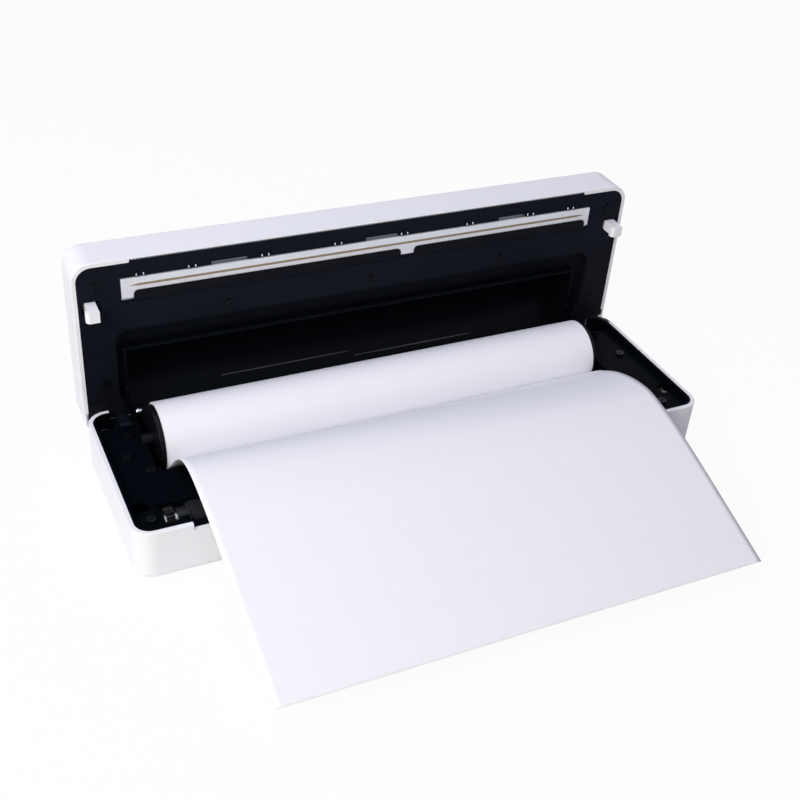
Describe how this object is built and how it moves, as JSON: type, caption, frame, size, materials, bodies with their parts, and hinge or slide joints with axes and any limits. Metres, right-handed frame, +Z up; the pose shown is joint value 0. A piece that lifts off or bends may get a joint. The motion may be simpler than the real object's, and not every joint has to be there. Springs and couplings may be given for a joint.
{
  "type": "portable thermal printer",
  "caption": "Slim A4 roll-fed thermal printer with a lid hinged along its back, shown open with a sheet drawn out over its front edge.",
  "frame": {"origin": "under the middle of the printer with its open lid and drawn sheet, on the plane that its feet stand on", "axes": "+X along the case, +Y from the front wall towards the hinge, +Z up"},
  "size_m": [0.266, 0.1912, 0.0972],
  "materials": {
    "white_case": "fine satin white ABS",
    "black_frame": "satin black ABS with fine moulded grain",
    "foot_rubber": "matt rubber",
    "black_screw": "black oxide steel",
    "bright_screw": "zinc plated steel",
    "platen_rubber": "ground matt silicone rubber",
    "steel": "bright steel",
    "bush_plastic": "dark acetal",
    "gear_plastic": "black acetal",
    "brass": "cut brass",
    "motor_can": "galvanised can",
    "battery_wrap": "blue shrink wrap",
    "circuit_board": "green solder mask",
    "button_grey": "satin grey plastic",
    "clear_plastic": "milky clear plastic",
    "sensor_plastic": "smoked infrared window",
    "ceramic": "glazed white alumina",
    "head_cover": "black encapsulant over the driver chips",
    "heatsink": "drawn aluminium",
    "ribbon_cable": "flat flexible cable",
    "paper": "coated thermal paper",
    "core_card": "brown card",
    "cap_black": "black moulded plastic"
  },
  "bodies": {
    "base": {"base_shell": "white_case", "base_liner": "black_frame", "gear_cover": "black_frame", "rubber_feet": "foot_rubber", "base_screws": "black_screw", "deck_screws": "bright_screw", "cover_screw": "bright_screw", "platen_bush_left": "bush_plastic", "platen_bush_right": "bush_plastic", "idler_post": "steel", "stepper_motor": "motor_can", "motor_bracket": "steel", "battery_pack": "battery_wrap", "main_board": "circuit_board", "usb_socket": "steel", "power_switch": "black_frame", "light_pipe": "clear_plastic", "paper_sensor": "sensor_plastic", "hinge_pin_left": "steel", "hinge_pin_right": "steel", "paper_sheet": "paper"},
    "lid": {"lid_shell": "white_case", "lid_liner": "black_frame", "lid_screws": "black_screw", "tear_bar": "black_frame", "head_cable": "ribbon_cable", "printhead_springs": "steel", "latch_spring": "steel"},
    "printhead": {"printhead_ceramic": "ceramic", "printhead_cover": "head_cover", "printhead_heatsink": "heatsink"},
    "latch": {"latch_bar": "black_frame", "latch_hook_left": "white_case", "latch_hook_right": "white_case", "release_slider": "button_grey"},
    "roll": {"paper_roll": "paper", "core_tube": "core_card", "roll_cap_left": "cap_black", "roll_cap_right": "cap_black"},
    "platen": {"platen_roller": "platen_rubber", "platen_shaft": "steel", "platen_gear": "gear_plastic"},
    "idler": {"idler_gear": "gear_plastic"},
    "motor_rotor": {"motor_pinion": "brass"},
    "power_button": {"power_button": "button_grey"}
  },
  "joints": [
    {"name": "lid_hinge", "type": "hinge", "parent": "base", "child": "lid", "pos_m": [0, 0.06835, 0.01885], "axis": [1, 0, 0], "range_deg": [0, 90], "deforming": ["paper_sheet"]},
    {"name": "printhead_slide", "type": "slide", "parent": "lid", "child": "printhead", "axis": [0, 1, 0], "range_m": [0, 0.001], "stiffness_N_per_m": 600, "springref_m": -0.003, "deforming": ["printhead_springs"]},
    {"name": "latch_slide", "type": "slide", "parent": "lid", "child": "latch", "axis": [1, 0, 0], "range_m": [0, 0.0015], "stiffness_N_per_m": 200, "springref_m": -0.004, "deforming": ["latch_spring"]},
    {"name": "roll_spin", "type": "hinge", "parent": "base", "child": "roll", "pos_m": [-0.002, 0.0519, 0.0224], "axis": [1, 0, 0], "continuous": true},
    {"name": "platen_spin", "type": "hinge", "parent": "base", "child": "platen", "pos_m": [0, 0.0024, 0.0188], "axis": [1, 0, 0], "continuous": true},
    {"name": "idler_spin", "type": "hinge", "parent": "base", "child": "idler", "pos_m": [-0.116, 0.01234, 0.0119], "axis": [1, 0, 0], "continuous": true},
    {"name": "motor_spin", "type": "hinge", "parent": "base", "child": "motor_rotor", "pos_m": [-0.116, 0.02264, 0.0119], "axis": [1, 0, 0], "continuous": true},
    {"name": "button_press", "type": "slide", "parent": "base", "child": "power_button", "axis": [-1, 0, 0], "range_m": [0, 0.0006], "stiffness_N_per_m": 400, "springref_m": -0.0005}
  ],
  "couplings": [
    {"joint": "idler_spin", "follows": "platen_spin", "ratio": -0.66667},
    {"joint": "motor_spin", "follows": "platen_spin", "ratio": 1.6}
  ]
}
